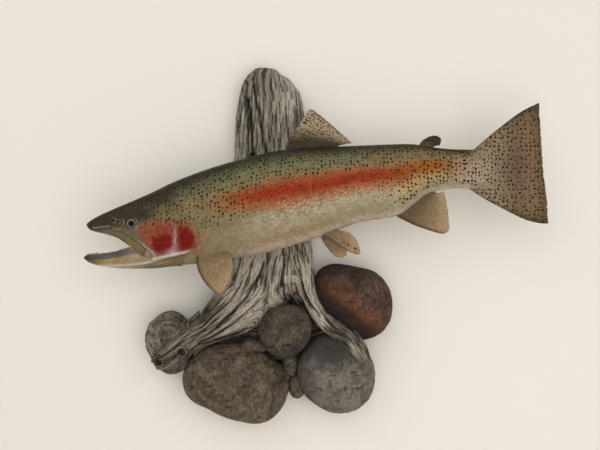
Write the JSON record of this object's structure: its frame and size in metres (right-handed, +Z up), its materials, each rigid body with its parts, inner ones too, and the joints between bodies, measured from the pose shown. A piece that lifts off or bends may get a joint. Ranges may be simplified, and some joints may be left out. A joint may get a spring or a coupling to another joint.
{
  "type": "mounted trout",
  "caption": "Life-size mounted rainbow trout, mouth open, on a forked piece of driftwood with river stones at its foot; hangs flat on a wall by the back of the wood.",
  "frame": {"origin": "the hanging point on the flat back of the driftwood, behind the trout's back", "axes": "+Y out of the flat back into the wall, +Z up, +X towards the trout's tail"},
  "size_m": [0.7567, 0.1574, 0.6141],
  "materials": {
    "skin": "painted and varnished trout skin over a solid form, satin gloss",
    "fin": "varnished fin skin on rays, satin",
    "eye": "glass taxidermy eye, gloss",
    "mouth": "cast and painted mouth lining, wet gloss",
    "wood": "weathered grey driftwood, dry",
    "stone_grey": "grey river stone, dry, fine pits",
    "stone_brown": "brown river stone, dry",
    "stone_red": "reddish brown river stone, dry",
    "peg": "turned dowel, bare"
  },
  "bodies": {
    "root": {"head": "skin", "jaw_lower": "skin", "throat": "skin", "gill_cover_left": "skin", "gill_cover_right": "skin", "maxilla_left": "skin", "maxilla_right": "skin", "trunk_front": "skin", "trunk_middle": "skin", "trunk_rear": "skin", "tail_stem": "skin", "fin_dorsal": "fin", "fin_adipose": "fin", "fin_anal": "fin", "fin_tail": "fin", "fin_pectoral_left": "fin", "fin_pectoral_right": "fin", "fin_pelvic_left": "fin", "fin_pelvic_right": "fin", "eye_left": "eye", "eye_right": "eye", "tongue": "mouth", "driftwood": "wood", "rock_round": "stone_grey", "rock_grey": "stone_grey", "rock_left": "stone_grey", "pebble_middle": "stone_grey", "pebble_lower": "stone_grey", "rock_brown": "stone_brown", "pebble_upper": "stone_brown", "rock_red": "stone_red", "mount_peg": "peg"}
  },
  "joints": []
}
